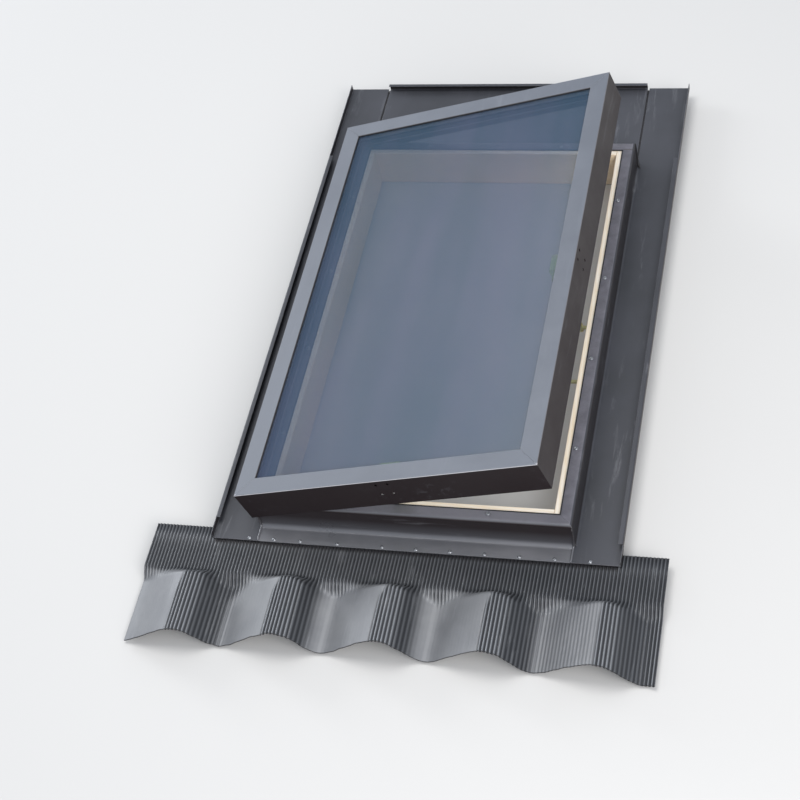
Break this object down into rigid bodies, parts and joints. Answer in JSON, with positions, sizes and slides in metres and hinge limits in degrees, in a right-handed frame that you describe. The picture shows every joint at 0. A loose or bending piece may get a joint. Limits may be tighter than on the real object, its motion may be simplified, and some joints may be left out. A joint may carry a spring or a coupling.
{
  "type": "roof skylight",
  "caption": "Side-hung roof access skylight: timber kerb, folded metal flashing with a pleated wave-dressed apron, and a glazed metal sash held open by a notched stay.",
  "frame": {"origin": "centre of the clear opening, on the plane of the kerb's underside", "axes": "+X to the right along the eaves, +Y up the slope of the roof, +Z square to the roof and outwards"},
  "size_m": [0.7592, 1.141, 0.2172],
  "materials": {
    "kerb_wood": "planed and clear-lacquered softwood",
    "flashing_metal": "coated sheet, dark grey, satin",
    "apron_metal": "coated pleated aluminium, grey, slightly worn",
    "sash_metal": "powder-coated aluminium, graphite grey, satin",
    "bead_metal": "powder-coated aluminium, graphite grey, satin",
    "key_metal": "mill-finish extrusion",
    "glass": "clear float glass with a faint blue-green tint",
    "spacer_metal": "satin aluminium spacer bar",
    "seal_rubber": "black sealing rubber",
    "block_plastic": "moulded plastic",
    "passivated_steel": "yellow-green passivated zinc plating",
    "hinge_steel": "coated steel, dark grey",
    "zinc_steel": "galvanised steel",
    "screw_steel": "zinc-plated steel",
    "rivet_metal": "painted blind rivets"
  },
  "bodies": {
    "frame": {"frame_left": "kerb_wood", "frame_right": "kerb_wood", "frame_sill": "kerb_wood", "frame_head": "kerb_wood", "flashing_left": "flashing_metal", "flashing_right": "flashing_metal", "flashing_front": "flashing_metal", "flashing_top": "flashing_metal", "apron": "apron_metal", "frame_seal": "seal_rubber", "catch_plate": "passivated_steel", "catch_pins": "passivated_steel", "hinge_frame_leaf_front": "hinge_steel", "hinge_frame_leaf_rear": "hinge_steel", "hinge_pin_front": "hinge_steel", "hinge_pin_rear": "hinge_steel", "fixing_bracket_front_left": "zinc_steel", "fixing_bracket_front_right": "zinc_steel", "fixing_bracket_rear_left": "zinc_steel", "fixing_bracket_rear_right": "zinc_steel", "frame_screws": "screw_steel", "lip_screws": "screw_steel", "fixing_screws": "screw_steel", "hinge_screws": "screw_steel", "catch_screws": "screw_steel", "apron_rivets": "rivet_metal"},
    "sash": {"sash_left": "sash_metal", "sash_right": "sash_metal", "sash_front": "sash_metal", "sash_rear": "sash_metal", "sash_corner_keys": "key_metal", "outer_pane": "glass", "inner_pane": "glass", "glass_spacer": "spacer_metal", "glass_edge_seal": "seal_rubber", "setting_blocks": "block_plastic", "glazing_gasket": "seal_rubber", "inner_gasket": "seal_rubber", "glazing_bead_left": "bead_metal", "glazing_bead_right": "bead_metal", "glazing_bead_front": "bead_metal", "glazing_bead_rear": "bead_metal", "sash_seal": "seal_rubber", "hinge_sash_leaf_front": "hinge_steel", "hinge_sash_leaf_rear": "hinge_steel", "hinge_rivets": "rivet_metal", "stay_bracket": "passivated_steel", "spare_bracket": "passivated_steel", "bracket_screws": "screw_steel", "stay_pivot": "passivated_steel", "stay_washer": "block_plastic"},
    "stay": {"stay_bar": "passivated_steel"}
  },
  "joints": [
    {"name": "sash_hinge", "type": "hinge", "parent": "frame", "child": "sash", "pos_m": [-0.238, 0, 0.028], "axis": [0, -1, 0], "range_deg": [-14.75, 65.25]},
    {"name": "stay_swing", "type": "hinge", "parent": "sash", "child": "stay", "pos_m": [0.16292, 0.004, 0.14699], "axis": [0.967, 0, 0.2546], "range_deg": [-90, 20]}
  ]
}
